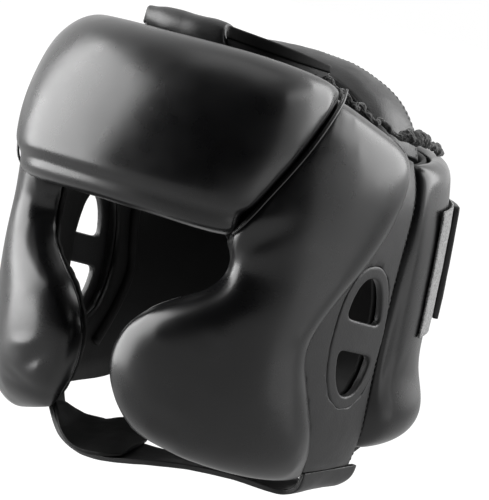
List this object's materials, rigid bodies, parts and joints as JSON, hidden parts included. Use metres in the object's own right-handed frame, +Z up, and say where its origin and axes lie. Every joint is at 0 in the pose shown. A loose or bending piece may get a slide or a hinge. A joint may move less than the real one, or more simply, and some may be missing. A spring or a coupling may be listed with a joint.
{
  "type": "boxing headgear",
  "caption": "Padded head guard with forehead and cheek pads, open face, ear openings, laced crown bands, rear wrap closure and a chin strap with a cup.",
  "frame": {"origin": "the inside top of the crown, where it rests on the wearer's head", "axes": "+Z up, the wearer faces -Y, the wearer's left side is +X"},
  "size_m": [0.2076, 0.2596, 0.2298],
  "materials": {
    "smooth_leather": "satin black synthetic leather",
    "grained_leather": "matte black leather with a fine grain",
    "lining_leather": "matte near-black lining leather",
    "lace_fabric": "rough dark grey woven lace",
    "loop_fabric": "grey speckled hook-and-loop"
  },
  "bodies": {
    "root": {"forehead_pad": "smooth_leather", "cheek_pad_left": "smooth_leather", "cheek_pad_right": "smooth_leather", "ear_panel_left": "grained_leather", "ear_panel_right": "grained_leather", "ear_guard_left": "grained_leather", "ear_guard_right": "grained_leather", "rear_pad_left": "smooth_leather", "rear_pad_right": "smooth_leather", "rear_closure_flap": "grained_leather", "rear_loop_patch": "loop_fabric", "lining": "lining_leather", "seam_piping_left": "smooth_leather", "seam_piping_right": "smooth_leather", "crown_band_long": "grained_leather", "crown_band_cross": "grained_leather", "crown_lace_left": "lace_fabric", "crown_lace_right": "lace_fabric", "chin_strap": "grained_leather", "chin_cup": "lining_leather"}
  },
  "joints": []
}
